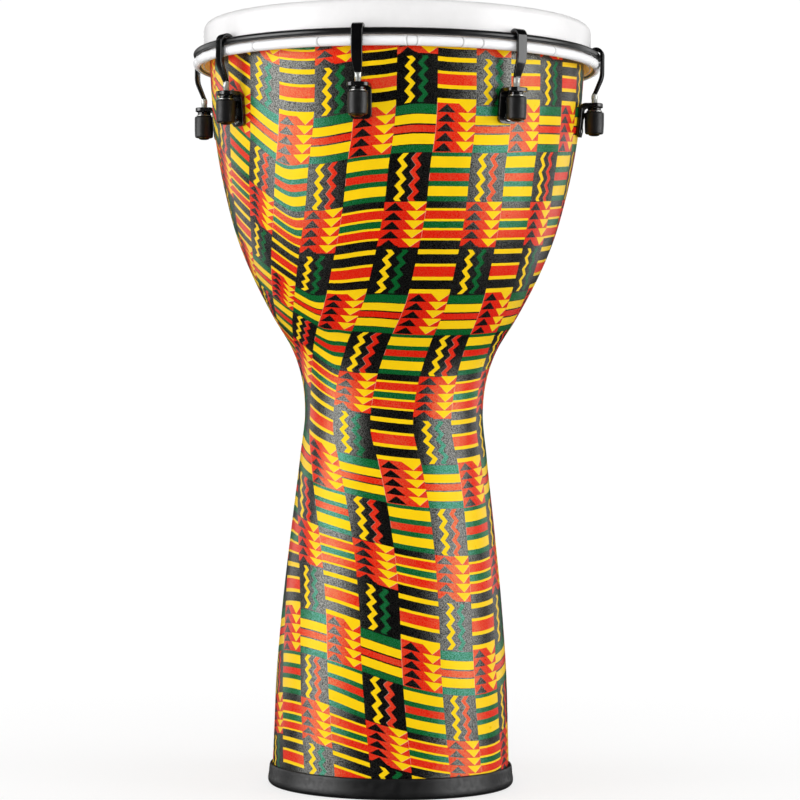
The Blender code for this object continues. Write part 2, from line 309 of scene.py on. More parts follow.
class Finish:
    """A Principled material and the nodes that drive it."""

    def __init__(self, name, **values):
        self.material = bpy.data.materials.new(name)
        self.material.use_nodes = True
        self.tree = self.material.node_tree
        self.shader = self.tree.nodes["Principled BSDF"]
        self.height = None
        self.set(**values)

    def set(self, **values):
        for name, value in values.items():
            slot = self.shader.inputs[name.replace("_", " ").title().replace("Ior", "IOR")]
            plug(self.tree, value, slot)
        return self

    def node(self, kind, output=0, **inputs):
        node = self.tree.nodes.new(kind)
        for name, value in inputs.items():
            plug(self.tree, value, node.inputs[name])
        return Field(self.tree, node.outputs[output])

    def place(self):
        return self.node("ShaderNodeTexCoord", "Object")

    def stretched(self, x, y, z):
        """Object coordinates scaled along each axis."""
        node = self.tree.nodes.new("ShaderNodeMapping")
        plug(self.tree, self.place(), node.inputs["Vector"])
        node.inputs["Scale"].default_value = (x, y, z)
        return Field(self.tree, node.outputs[0])

    def attribute(self, name):
        node = self.tree.nodes.new("ShaderNodeAttribute")
        node.attribute_name = name
        return Field(self.tree, node.outputs["Fac"])

    def noise(self, scale, detail=2.0, roughness=0.5, vector=None):
        node = self.tree.nodes.new("ShaderNodeTexNoise")
        plug(self.tree, vector or self.place(), node.inputs["Vector"])
        node.inputs["Scale"].default_value = scale
        node.inputs["Detail"].default_value = detail
        node.inputs["Roughness"].default_value = roughness
        return Field(self.tree, node.outputs["Fac"])

    def cells(self, scale, vector=None):
        node = self.tree.nodes.new("ShaderNodeTexVoronoi")
        plug(self.tree, vector or self.place(), node.inputs["Vector"])
        node.inputs["Scale"].default_value = scale
        return Field(self.tree, node.outputs["Distance"])

    def spread(self, field, low, high, start=0.0, end=1.0):
        """The field's low..high stretched to start..end, and held outside it."""
        node = self.tree.nodes.new("ShaderNodeMapRange")
        for slot, value in zip(node.inputs, (field, low, high, start, end)):
            plug(self.tree, value, slot)
        return Field(self.tree, node.outputs[0])

    def mix(self, mask, base, top):
        """A colour: base where the mask is 0, top where it is 1."""
        node = self.tree.nodes.new("ShaderNodeMix")
        node.data_type = "RGBA"
        plug(self.tree, mask, node.inputs["Factor"])
        slots = [s for s in node.inputs if s.type == "RGBA"]
        plug(self.tree, base, slots[0])
        plug(self.tree, top, slots[1])
        return Field(self.tree, next(s for s in node.outputs if s.type == "RGBA"))

    def bands(self, position, stops):
        """Flat bands of colour, each from its stop to the next."""
        node = self.tree.nodes.new("ShaderNodeValToRGB")
        node.color_ramp.interpolation = "CONSTANT"
        plug(self.tree, position, node.inputs[0])
        steps = node.color_ramp.elements
        steps.remove(steps[1])
        steps[0].position = 0.0
        steps[0].color = stops[0][1]
        for at, shade_of in stops[1:]:
            steps.new(at).color = shade_of
        return Field(self.tree, node.outputs["Color"])

    def bump(self, height, depth, strength=1.0):
        """Adds relief of a depth in metres; later calls add to earlier ones."""
        node = self.tree.nodes.new("ShaderNodeBump")
        node.inputs["Strength"].default_value = strength
        node.inputs["Distance"].default_value = depth
        plug(self.tree, height, node.inputs["Height"])
        if self.height is not None:
            plug(self.tree, self.height, node.inputs["Normal"])
        self.height = Field(self.tree, node.outputs[0])
        plug(self.tree, self.height, self.shader.inputs["Normal"])
        return self

    def edges(self, radius):
        """1 on convex edges, 0 on open faces, from rounded normals against flat ones."""
        bevel = self.tree.nodes.new("ShaderNodeBevel")
        bevel.samples = 4
        bevel.inputs["Radius"].default_value = radius
        plain = self.tree.nodes.new("ShaderNodeNewGeometry")
        dot = self.tree.nodes.new("ShaderNodeVectorMath")
        dot.operation = "DOT_PRODUCT"
        self.tree.links.new(bevel.outputs[0], dot.inputs[0])
        self.tree.links.new(plain.outputs["Normal"], dot.inputs[1])
        return self.spread(Field(self.tree, dot.outputs["Value"]), 0.995, 0.90)


# ---------------------------------------------------------------- the print

YELLOW = screen(255, 209, 20)
RED = screen(228, 22, 4)
GREEN = screen(2, 94, 34)
BLACK = screen(3, 3, 3)
PAPER = screen(236, 214, 188)

X_BANDS = [
    (0.0, BLACK), (0.029, YELLOW), (0.0547, BLACK), (0.1094, YELLOW), (0.1287, RED),
    (0.1866, YELLOW), (0.2059, BLACK), (0.2574, YELLOW), (0.2799, RED), (0.5277, GREEN),
    (0.547, YELLOW), (0.6049, GREEN), (0.6306, RED), (0.6692, GREEN), (0.6982, YELLOW),
    (0.7497, GREEN), (0.7754, BLACK), (0.8108, YELLOW), (0.8237, RED), (0.8655, YELLOW),
    (0.8784, GREEN), (0.9106, YELLOW), (0.9234, RED), (0.9653, YELLOW), (0.9781, BLACK),
]
Y_BANDS = [
    (0.0, RED), (0.02, BLACK), (0.2896, GREEN), (0.3378, BLACK), (0.341, YELLOW),
    (0.3893, BLACK), (0.3958, RED), (0.4311, BLACK), (0.4408, YELLOW), (0.4891, BLACK),
    (0.4955, GREEN), (0.5309, BLACK), (0.7786, RED),
]
ZIGZAG_PERIOD = 0.0664
ZIGZAG_SWING = 0.066
ZIGZAG_HALF = 0.068


def zigzag(across, down, centre, right_peak):
    """How far, in column widths, a point is from a zigzag's middle; it peaks right at right_peak."""
    turn = ((down - right_peak) / ZIGZAG_PERIOD + 0.5).fraction()
    wave = 1.0 - (turn - 0.5).size() * 4.0
    return across - centre - wave * ZIGZAG_SWING


def triangles(across, rows):
    """(black, yellow, light edge) masks for a block of triangle rows."""
    fall = rows.fraction()
    black_fall = (rows - 0.12).fraction()
    black = (across - 0.25).size().below(black_fall * 0.26) * black_fall.below(0.87)
    yellow_half = (0.93 - fall) * 0.26
    yellow = (across - 0.78).size().below(yellow_half)
    light = (across - 0.792).size().below(yellow_half) * (1.0 - yellow)
    return black, yellow, light


def ink_shine(finish, colour):
    """The tint of an ink's shine: white on black, and weaker where the ink itself is bright."""
    parts = finish.tree.nodes.new("ShaderNodeSeparateColor")
    plug(finish.tree, colour, parts.inputs[0])
    red, green, _ = [Field(finish.tree, socket) for socket in parts.outputs]
    red_room = finish.spread(red, 0.0, 1.0, 1.0, 0.0)
    green_room = finish.spread(green, 0.0, 1.0, 1.0, 0.0)
    channels = (
        red_room * finish.spread(green, 0.0, 0.18, 1.0, 0.0), green_room * (1.0 - red * 0.5),
        red_room.math("POWER", 0.85) * 0.92,
    )
    tint = finish.tree.nodes.new("ShaderNodeCombineColor")
    for slot, channel in zip(tint.inputs, channels):
        plug(finish.tree, channel, slot)
    return Field(finish.tree, tint.outputs[0])


def kente_finish():
    """Generic woven-strip patchwork: two alternating columns of bars, zigzags and triangles."""
    finish = Finish("printed_wrap", roughness=0.42)
    wobble = finish.noise(260, 2.0) - 0.5
    u = finish.attribute("print_u") + wobble * 0.006
    v = finish.attribute("print_v") + (finish.noise(310, 2.0) - 0.5) * 0.0025
    across = (u * 2.0).fraction()
    down = v.fraction()
    is_x = u.fraction().above(0.5)

    x_column = finish.bands(down, X_BANDS)
    rows = (down - 0.2799) / ((0.5277 - 0.2799) / 5)
    block = down.within(0.2799, 0.5277)
    black, yellow, light = triangles(across, rows)
    x_column = finish.mix(block * light * 0.6, x_column, PAPER)
    x_column = finish.mix(block * yellow, x_column, YELLOW)
    x_column = finish.mix(block * black, x_column, BLACK)
    red_parts = (down.within(0.2799, 0.5277) + down.within(0.6306, 0.6692)
                 + down.within(0.8237, 0.8655) + down.within(0.9234, 0.9653))
    x_column = finish.mix(red_parts * across.below(0.010) * 0.45, x_column, PAPER)

    y_column = finish.bands(down, Y_BANDS)
    unrolled = down + down.below(0.03)
    rows = (unrolled - 0.7786) / ((1.02 - 0.7786) / 5)
    block = unrolled.within(0.7786, 1.02)
    black, yellow, light = triangles(across, rows)
    y_column = finish.mix(block * light * 0.6, y_column, PAPER)
    y_column = finish.mix(block * yellow, y_column, YELLOW)
    y_column = finish.mix(block * black, y_column, BLACK)
    roof = unrolled.within(1.0115, 1.0235) * (across - 0.25).size().below(0.245)
    y_column = finish.mix(roof + down.within(0.0195, 0.034), y_column, BLACK)
    green_rows = down.within(0.033, 0.285)
    red_rows = down.within(0.534, 0.7775)
    for rows_mask, centre, peak, ink in (
        (green_rows, 0.32, 0.0556, YELLOW), (green_rows, 0.64, 0.0436, GREEN),
        (red_rows, 0.32, 0.5309, YELLOW), (red_rows, 0.65, 0.5279, RED),
    ):
        offset = zigzag(across, down, centre, peak)
        if ink is RED:
            left_edge = (offset + 0.010).size().below(ZIGZAG_HALF)
            y_column = finish.mix(rows_mask * left_edge * 0.45, y_column, PAPER)
        y_column = finish.mix(rows_mask * offset.size().below(ZIGZAG_HALF), y_column, ink)

    colour = finish.mix(is_x, y_column, x_column)
    mottle = finish.spread(finish.noise(55, 4.0, 0.6), 0.3, 0.7, 0.0, 0.06)
    finish.set(base_color=finish.mix(mottle, colour, screen(30, 22, 18)))
    speck = finish.spread(finish.noise(1250, 1.0, 0.8), 0.38, 0.62, 0.15, 1.85)
    finish.set(specular_ior_level=speck, specular_tint=ink_shine(finish, colour))
    finish.bump(finish.noise(1200, 2.0, 0.75), 0.22 * MM, 0.40)
    finish.bump(finish.noise(120, 2.0), 0.25 * MM, 0.10)
    finish.set(roughness=finish.spread(finish.noise(90, 3.0, 0.7), 0.3, 0.7, 0.27, 0.35))
    return finish.material


def print_coordinates(theta, z, radius):
    """(u, v) of the print at a place on the shell. u counts column pairs and v counts tiles."""
    edge = through(COLUMN_EDGE, z)
    # Round the back the columns follow the shell's sides more closely than the cloth's threads.
    side = np.clip(theta, -95, 95)
    back_radius = 0.3 * radius + 0.7 * 0.115
    along = radius * np.radians(side) + back_radius * np.radians(theta - side) - edge
    width = np.where(along < 0, through(WIDTH_LEFT, z), through(WIDTH_RIGHT, z))
    heights = sorted((h, FIRST_ROW + HALF_TILE * k) for k, h in enumerate(ROW_HEIGHTS))
    clear = np.clip(z, heights[0][0], heights[-1][0])
    rows = through(heights, clear) - (z - clear) / TILE_HEIGHT

    bowl = (6.5 * np.exp(-((theta + 26) / 14) ** 2) - 1.4 * ramp(-theta, 39, 90, 2)
            - (settle(theta, 80, 25) / 25) ** 2)
    bowl += 1.5 * smoothstep(z, 0.556, 0.578)
    top = smoothstep(z, 0.465, 0.515)
    bowl -= top * (2.3 * smoothstep(theta, -6, 6) + 1.5 * smoothstep(theta, 28, 48))
    bowl -= 1.8 * np.exp(-((theta - 7) / 6.5) ** 2) * smoothstep(z, 0.49, 0.56)
    bowl += 4.0 * smoothstep(-theta, 28, 38) * (1 - smoothstep(z, 0.475, 0.545))
    waist = 5 - ((theta - 28) / 20) ** 2
    foot = 1.2 + 14.8 * np.sin(1.75 * np.radians(theta + 6.5))
    # Beyond the sides the cloth settles to a steady slope, so that the back stays as calm.
    calm = smoothstep(np.abs(theta), 75, 110)
    waist = waist * (1 - calm) - 12 * calm
    lower = np.where(z > 0.265, 1.0, smoothstep(z, 0.13, 0.265))
    low = foot * (1 - lower) + waist * lower
    upper = smoothstep(z, 0.265, 0.44)
    low = low * (1 - upper) + bowl * upper
    toward_right = smoothstep(theta, -32, 6) * (1 - calm)
    for height, spread, left, right in SETTLED:
        there = np.exp(-((z - height) / spread) ** 2)
        low = low + there * (left * (1 - calm) * (1 - toward_right) + right * toward_right)
    low = low + 0.07 * np.clip(theta, -60, 60) * (1 - calm) * (1 - smoothstep(z, 0.03, 0.06))
    return along / width, rows - low * MM / TILE_HEIGHT


# ---------------------------------------------------------------- finishes

def core_finish():
    """Dark moulded plastic with a faint fibre mottle, for the shell's wall and inside."""
    finish = Finish("moulded_core", roughness=0.55)
    cloud = finish.noise(30, 5.0, 0.6)
    finish.set(base_color=finish.mix(cloud, screen(50, 48, 47), screen(88, 84, 80)))
    finish.bump(finish.noise(420, 4.0, 0.7), 0.35 * MM, 0.5)
    finish.set(roughness=finish.spread(finish.noise(60, 3.0), 0.3, 0.7, 0.45, 0.7))
    return finish.material


def rubber_finish():
    finish = Finish("foot_rubber_look")
    dust = finish.spread(finish.noise(70, 6.0, 0.7), 0.45, 0.75)
    finish.set(base_color=finish.mix(dust * 0.5, screen(14, 14, 15), screen(36, 36, 36)))
    finish.set(roughness=finish.spread(finish.noise(300, 3.0), 0.3, 0.7, 0.34, 0.52))
    finish.bump(finish.noise(1400, 2.0, 0.6), 0.10 * MM, 0.35)
    finish.bump(finish.noise(90, 3.0), 0.4 * MM, 0.12)
    return finish.material


def film_finish(name, base, shadow, gloss=0.34):
    """White polyester film, faintly clouded and pebbled, greyed with painted shade where a mesh gives a
    fold_shadow.
    """
    finish = Finish(name)
    cloud = finish.spread(finish.noise(14, 5.0, 0.65), 0.35, 0.7)
    colour = finish.mix(cloud, base, shadow)
    # Painted shade: the fold_shadow attribute greys the film in each pleat's groove.
    finish.set(base_color=finish.mix(finish.attribute("fold_shadow") * 0.55, colour, screen(120, 118, 116)))
    finish.set(roughness=finish.spread(finish.noise(40, 4.0), 0.3, 0.7, gloss - 0.06, gloss + 0.12))
    finish.bump(finish.noise(900, 3.0, 0.6), 0.06 * MM, 0.25)
    finish.bump(finish.noise(30, 3.0), 0.5 * MM, 0.05)
    return finish.material


def amber_finish():
    """The film's unpainted back, seen up inside the skirt, painted amber and emissive to stand in for light
    coming through the film.
    """
    finish = Finish("film_back_painted_glow", roughness=0.5)
    cloud = finish.spread(finish.noise(120, 5.0, 0.7), 0.3, 0.7)
    glow = finish.mix(cloud, screen(222, 180, 104), screen(166, 116, 46))
    # Painted light: an amber emission stands in for the light that comes through the film.
    finish.set(base_color=glow, emission_color=glow, emission_strength=0.42)
    finish.bump(finish.noise(600, 3.0), 0.15 * MM, 0.4)
    return finish.material


def enamel_finish(name="black_enamel", gloss=0.15, shine=1.0):
    """Black stoved enamel with rubbed edges."""
    finish = Finish(name, specular_ior_level=shine)
    wear = finish.edges(0.6 * MM) * finish.spread(finish.noise(500, 5.0, 0.7), 0.50, 0.66)
    base = finish.mix(finish.noise(45, 4.0), screen(5, 5, 6), screen(12, 12, 13))
    finish.set(base_color=finish.mix(wear * 0.8, base, screen(120, 118, 114)))
    finish.set(metallic=wear * 0.7)
    finish.set(roughness=finish.spread(finish.noise(90, 4.0), 0.3, 0.7, gloss - 0.03, gloss + 0.07))
    finish.bump(finish.noise(700, 3.0, 0.5), 0.05 * MM, 0.2)
    return finish.material


def zinc_finish(name="bright_zinc", gloss=0.24):
    finish = Finish(name, metallic=1.0)
    cloud = finish.spread(finish.noise(260, 5.0, 0.65), 0.3, 0.7)
    finish.set(base_color=finish.mix(cloud, screen(212, 212, 210), screen(168, 168, 164)))
    finish.set(roughness=finish.spread(finish.noise(380, 4.0), 0.3, 0.7, gloss - 0.08, gloss + 0.14))
    finish.bump(finish.noise(1500, 3.0), 0.05 * MM, 0.3)
    return finish.material


def rod_finish():
    """Dull plated steel thread."""
    finish = Finish("rod_zinc_look", metallic=0.6)
    cloud = finish.spread(finish.noise(420, 5.0, 0.65), 0.3, 0.7)
    finish.set(base_color=finish.mix(cloud, screen(222, 224, 220), screen(170, 172, 168)))
    finish.set(roughness=finish.spread(finish.noise(380, 4.0), 0.3, 0.7, 0.28, 0.42))
    finish.bump(finish.noise(1500, 3.0), 0.05 * MM, 0.3)
    return finish.material


def brass_finish():
    finish = Finish("brass_nut_look", metallic=1.0)
    cloud = finish.spread(finish.noise(300, 5.0, 0.65), 0.3, 0.7)
    finish.set(base_color=finish.mix(cloud, screen(98, 86, 58), screen(62, 52, 34)))
    finish.set(roughness=finish.spread(finish.noise(420, 4.0), 0.3, 0.7, 0.26, 0.48))
    finish.bump(finish.stretched_rings(2600), 0.03 * MM, 0.4)
    return finish.material


def stretched_rings(self, scale):
    """Fine turning marks round Z."""
    return self.noise(1.0, 2.0, 0.6, vector=self.stretched(60, 60, scale))


Finish.stretched_rings = stretched_rings


def sleeve_finish():
    """Soft black rubber with fine moulding rings and a bloom."""
    finish = Finish("sleeve_rubber_look")
    bloom = finish.spread(finish.noise(160, 5.0, 0.7), 0.4, 0.75)
    finish.set(base_color=finish.mix(bloom * 0.5, screen(12, 12, 13), screen(34, 33, 32)))
    finish.set(roughness=finish.spread(finish.noise(500, 3.0), 0.3, 0.7, 0.36, 0.52))
    finish.bump(finish.stretched_rings(2400), 0.08 * MM, 0.5)
    finish.bump(finish.noise(1300, 2.0), 0.06 * MM, 0.35)
    return finish.material


# ---------------------------------------------------------------- shell and foot

SHELL_LOW, SHELL_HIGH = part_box("shell")
RIM_RADIUS = (SHELL_HIGH.x - SHELL_LOW.x) / 2
SHELL_BOTTOM = SHELL_LOW.z
SHELL_TOP = SHELL_HIGH.z - RIM_EASE
OUTLINE = [(SHELL_BOTTOM + share * (SHELL_TOP - SHELL_BOTTOM), radius * RIM_RADIUS)
           for share, radius in SHELL_SHAPE]


def shell_radius(z):
    return through(OUTLINE, z)


def even_heights(rows):
    """Heights up the shell, evenly spaced along its side."""
    z = np.linspace(SHELL_BOTTOM, SHELL_TOP, 2000)
    r = shell_radius(z)
    reach = np.concatenate([[0], np.cumsum(np.hypot(np.diff(z), np.diff(r)))])
    return np.interp(np.linspace(0, reach[-1], rows), reach, z)


def wrap_panel(number, surface):
    """One panel of the printed wrap: a thin closed sheet on the outside of the shell."""
    span = 360 / WRAP_PANELS
    first = -180 + span * (number - 0.5) - span / 2
    theta = np.linspace(first, first + span, WRAP_COLUMNS + 1)
    z = even_heights(WRAP_ROWS)
    radius = shell_radius(z)
    slope = np.gradient(radius, z)
    turn, height = np.meshgrid(np.radians(theta), z)
    outer = np.tile(radius[:, None], (1, len(theta)))
    mesh = bpy.data.meshes.new(f"print_wrap_{number}")
    width = len(theta)
    points, normals = [], []
    for r in (outer, outer - WRAP):
        points.append(np.stack([r * np.sin(turn), -r * np.cos(turn), height], -1).reshape(-1, 3))
    fall = np.tile(slope[:, None], (1, width))
    outward = np.stack([np.sin(turn), -np.cos(turn), -fall], -1).reshape(-1, 3)
    outward /= np.linalg.norm(outward, axis=1)[:, None]
    layer = len(points[0])
    index = np.arange(layer).reshape(len(z), width)
    a, b = index[:-1, :-1].ravel(), index[:-1, 1:].ravel()
    c, d = index[1:, 1:].ravel(), index[1:, :-1].ravel()
    faces = np.stack([a, b, c, d], 1).tolist()
    front = len(faces)
    faces += (np.stack([d, c, b, a], 1) + layer).tolist()
    rim = np.concatenate([index[0], index[1:, -1], index[-1, -2::-1], index[-2:0:-1, 0]])
    for p, q in zip(rim, np.roll(rim, -1)):
        faces.append((int(q), int(p), int(p) + layer, int(q) + layer))
    mesh.from_pydata(np.concatenate(points).tolist(), [], faces)
    for i, face in enumerate(mesh.polygons):
        face.use_smooth = i < 2 * front
    corners = np.array([loop.vertex_index for loop in mesh.loops])
    flat_theta = np.degrees(turn).ravel()
    side = corners % layer
    u, v = print_coordinates(flat_theta[side], height.ravel()[side], outer.ravel()[side])
    for name, values in (("print_u", u), ("print_v", v)):
        mesh.attributes.new(name, "FLOAT", "CORNER").data.foreach_set("value", values)
    given = []
    for face in mesh.polygons:
        for vertex in face.vertices:
            if face.index < front:
                given.append(tuple(outward[vertex]))
            elif face.index < 2 * front:
                given.append(tuple(-outward[vertex - layer]))
            else:
                given.append(tuple(face.normal))
    mesh.normals_split_custom_set(given)
    panel = new_piece(f"print_wrap_{number}", mesh, surface)
    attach(panel, "shell")
    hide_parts("shell")


def build_shell():
    z = even_heights(90)
    outside = [(float(shell_radius(h)) - WRAP - 0.02 * MM, float(h)) for h in z]
    inside = [(r - WALL + WRAP, h) for r, h in outside]
    top = outside[-1][0]
    rim = [(top - 0.9 * MM, SHELL_TOP + 2.6 * MM), (top - 2.2 * MM, SHELL_HIGH.z),
           (top - 4.2 * MM, SHELL_HIGH.z - 0.4 * MM), (top - WALL + WRAP, SHELL_TOP + 1.4 * MM)]
    mesh = turned("shell_wall", outside + eased(rim, 1.0 * MM, 3) + inside[::-1], 224)
    core = new_piece("shell_wall", mesh, core_finish())
    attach(core, "shell")
    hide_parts("shell")
    printed = kente_finish()
    for number in range(1, WRAP_PANELS + 1):
        wrap_panel(number, printed)


def build_foot():
    low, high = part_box("foot_ring")
    outer = (high.x - low.x) / 2
    seat = float(shell_radius(high.z)) + 0.3 * MM
    bottom = float(shell_radius(SHELL_BOTTOM)) + 0.3 * MM
    outline = [
        (seat, high.z), (seat + 1.6 * MM, high.z - 0.1 * MM), (outer - 1.2 * MM, high.z - 1.8 * MM),
        (outer - 0.7 * MM, 9.0 * MM), (outer, 5.2 * MM), (outer - 0.2 * MM, 2.2 * MM),
        (outer - 1.8 * MM, 0.3 * MM), (outer - 3.6 * MM, 0.0), (0.0890, 0.0), (0.0880, 1.0 * MM),
        (0.0880, 2.7 * MM), (bottom, 2.7 * MM),
    ]
    mesh = turned("rubber_foot", eased(outline, 1.4 * MM, 5, closed=True), 256)
    foot = new_piece("rubber_foot", mesh, rubber_finish())
    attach(foot, "shell")
    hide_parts("foot_ring")


# ---------------------------------------------------------------- head

HEAD_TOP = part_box("drumhead")[1].z
COLLAR_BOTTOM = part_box("drumhead")[0].z
COLLAR_RADIUS = (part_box("drumhead")[1].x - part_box("drumhead")[0].x) / 2
FILM = 0.8 * MM
CORNER = 7.0 * MM
ROLL_LOW, ROLL_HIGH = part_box("head_hem")
HOOP_LOW, HOOP_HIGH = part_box("counter_hoop")
HOOP_ROD = (HOOP_HIGH.z - HOOP_LOW.z) / 2
HOOP_HEIGHT = (HOOP_HIGH.z + HOOP_LOW.z) / 2
HOOP_RADIUS = (HOOP_HIGH.x - HOOP_LOW.x) / 2 - HOOP_ROD
ROLL_HALF_WIDTH = 3.7 * MM
ROLL_HALF_HEIGHT = 3.8 * MM
ROLL_RADIUS = (ROLL_HIGH.x - ROLL_LOW.x) / 2 - ROLL_HALF_WIDTH
ROLL_HEIGHT = ROLL_HIGH.z - ROLL_HALF_HEIGHT
PLEATS = (-171, -152, -138, -129, -112, -97, -78, -53.2, -42.4, -21.6, 2.4, 5.4, 17.7, 23.4,
          47.9, 71, 88, 97, 119, 137, 146, 166)


def lug_thetas():
    """Each lug's theta, from the nut joints' axes."""
    found = {}
    for joint in frame["joints"]:
        if joint["name"].startswith("nut_"):
            x, y, _ = joint["pos_m"]
            found[int(joint["name"].split("_")[1])] = math.degrees(math.atan2(x, -y))
    return found


def turn_between(a, b):
    """The angle in degrees from b to a, in -180..180."""
    return (a - b + 180) % 360 - 180


def build_film_head(white, amber):
    """The playing film, its rounded corner and its collar."""
    flat = COLLAR_RADIUS - CORNER
    middle = HEAD_TOP - CORNER
    outside = [(flat * k / 14, HEAD_TOP) for k in range(15)]
    outside += [(flat + CORNER * math.cos(a), middle + CORNER * math.sin(a))
                for a in np.radians(np.linspace(84, 0, 15))]
    outside += [(COLLAR_RADIUS, z) for z in np.linspace(middle, COLLAR_BOTTOM, 14)[1:]]
    inside = [(COLLAR_RADIUS - FILM, z) for z in np.linspace(COLLAR_BOTTOM, middle, 14)]
    inner = CORNER - FILM
    inside += [(flat + inner * math.cos(a), middle + inner * math.sin(a))
               for a in np.radians(np.linspace(6, 90, 10))]
    inside += [(flat * k / 3, HEAD_TOP - FILM) for k in (2, 1, 0)]
    mesh = turned("film_head", outside + inside, 224, closed=False)
    mesh.materials.append(white)
    mesh.materials.append(amber)
    edge = COLLAR_RADIUS - FILM / 2
    for face in mesh.polygons:
        x, y, z = face.center
        inward = face.normal.x * x + face.normal.y * y < 0
        if math.hypot(x, y) < edge and inward and z < middle + inner * 0.8:
            face.material_index = 1
    head = new_piece("film_head", mesh)
    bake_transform(head)
    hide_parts("drumhead")


def pleat_relief(theta, rise):
    """(puff, ridge, groove) of the roll: it swells between pleats, each a ridge beside a groove."""
    near = min((turn_between(theta, p) for p in PLEATS), key=abs)
    bow = 0.45 * rise * (1 if theta > 4 else -1)
    ridge = math.exp(-((near - bow) / 0.30) ** 2)
    side = -1 if theta > 4 else 1
    groove = math.exp(-((near - bow - 0.48 * side) / 0.20) ** 2)
    return 1 - math.exp(-(near / 3.0) ** 2), ridge, groove


def build_film_roll(white, amber):
    """The film's hem, rolled round the flesh hoop, with pleats where it was folded over and painted shade
    in their grooves.
    """
    lugs = list(lug_thetas().values())
    thetas = set(np.round(np.arange(-180, 180, 1.5), 3))
    for pleat in PLEATS:
        thetas |= {round(pleat + d * 0.12, 3) for d in range(-12, 13)}
    thetas = sorted(t for t in thetas if -180 <= t < 180)
    outer_turn = np.radians(np.linspace(-105, 217, 44))
    inner_turn = np.radians(np.linspace(217, -105, 14))
    rows, painted_fold_shadows = [], []
    for theta in thetas:
        hook = min(abs(turn_between(theta, lug)) for lug in lugs)
        free = 1 - math.exp(-(hook / 2.6) ** 2)
        turn = math.radians(theta)
        ring = []
        for a in outer_turn:
            facing = max(0.0, math.cos(a + math.radians(15))) ** 0.7
            puff, ridge, groove = pleat_relief(theta, max(0.0, math.cos(a)))
            lift = (0.30 * puff + 0.45 * ridge - 0.45 * groove) * MM * facing * free
            # Painted shade: each pleat's groove gets a shadow value that greys the film there.
            painted_fold_shadows.append(groove * free * min(1.0, facing * 2))
            across = ROLL_RADIUS + (ROLL_HALF_WIDTH + lift) * math.cos(a)
            up = ROLL_HEIGHT + (ROLL_HALF_HEIGHT + lift) * math.sin(a)
            ring.append((across * math.sin(turn), -across * math.cos(turn), up))
        for a in inner_turn:
            painted_fold_shadows.append(0.0)
            across = ROLL_RADIUS + (ROLL_HALF_WIDTH - 0.7 * MM) * math.cos(a)
            up = ROLL_HEIGHT + (ROLL_HALF_HEIGHT - 0.8 * MM) * math.sin(a)
            ring.append((across * math.sin(turn), -across * math.cos(turn), up))
        rows.append(ring)
    mesh = grid_mesh("film_roll", rows, along=True, merge=False)
    mesh.attributes.new("fold_shadow", "FLOAT", "POINT").data.foreach_set("value", painted_fold_shadows)
    shade(mesh, 60)
    mesh.materials.append(white)
    mesh.materials.append(amber)
    for face in mesh.polygons:
        if math.hypot(face.center.x, face.center.y) < ROLL_RADIUS - 2.4 * MM:
            face.material_index = 1
    roll = new_piece("film_roll", mesh)
    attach(roll, "hoop")
    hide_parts("head_hem")


def build_hoop(enamel):
    """The counter hoop: a round rod bent to a ring, with its weld at the back."""
    rows = []
    for theta in np.linspace(-180, 180, 360, endpoint=False):
        weld = math.exp(-(turn_between(theta, 171) / 1.0) ** 2)
        radius = HOOP_ROD + 0.25 * MM * weld
        turn = math.radians(theta)
        ring = []
        for a in np.linspace(0, math.tau, 24, endpoint=False):
            across = HOOP_RADIUS + radius * math.cos(a)
            ring.append((across * math.sin(turn), -across * math.cos(turn),
                         HOOP_HEIGHT + radius * math.sin(a)))
        rows.append(ring)
    mesh = grid_mesh("hoop_rod", rows, along=True)
    shade(mesh, 60)
    hoop = new_piece("hoop_rod", mesh, enamel)
    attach(hoop, "hoop")
    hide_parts("counter_hoop")


# ---------------------------------------------------------------- lugs

ROD_RADIUS = 2.5 * MM
THREAD_PITCH = 0.8 * MM
THREAD_DEPTH = 0.42 * MM
HOOK_ROOM = 0.7 * MM
PLATE = 3.0 * MM
PLATE_HALF = 8.5 * MM
PLATE_LEAN = math.radians(5.3)
BEND = 4.0 * MM
BRACKET_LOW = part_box("lug_bracket_1")[0].z
BRACKET_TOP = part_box("lug_bracket_1")[1].z
FLANGE_MIDDLE = BRACKET_TOP - PLATE / 2
PLATE_FOOT = 147.9 * MM
FLANGE_TIP = 166.5 * MM
SECTION_POINTS = 28


def rod_offset():
    x, y, _ = next(j for j in frame["joints"] if j["name"] == "nut_1_turn")["pos_m"]
    return math.hypot(x, y)


ROD_OFFSET = rod_offset()


def bar_section(half_width, half_depth, ease, roundness=0.0, radius=ROD_RADIUS):
    """(across, out) points of a bar with eased edges, turning into a round rod."""
    ease = min(ease, half_width * 0.98, half_depth * 0.98)
    points = []
    per_corner = SECTION_POINTS // 4
    for corner, (sx, sy) in enumerate(((1, 1), (-1, 1), (-1, -1), (1, -1))):
        for k in range(per_corner):
            a = math.radians(90 * corner + 90 * k / (per_corner - 1))
            flat = (sx * (half_width - ease) + ease * math.cos(a),
                    sy * (half_depth - ease) + ease * math.sin(a))
            b = math.radians(90 * corner + 90 * (k + 0.5) / per_corner)
            points.append((flat[0] + (radius * math.cos(b) - flat[0]) * roundness,
                           flat[1] + (radius * math.sin(b) - flat[1]) * roundness))
    return points


def swept(name, stations):
    """A solid bar through (point, direction, section) stations in the XZ plane."""
    rows = []
    across = Vector((0, 1, 0))
    for point, along, section in stations:
        out = across.cross(along).normalized()
        rows.append([point + across * y + out * x for y, x in section])
    return grid_mesh(name, rows, caps=True)


def shrink(section, by):
    """A section pulled in evenly, for an eased end."""
    result = []
    for y, x in section:
        result.append((y - math.copysign(min(by, abs(y)), y), x - math.copysign(min(by, abs(x)), x)))
    return result


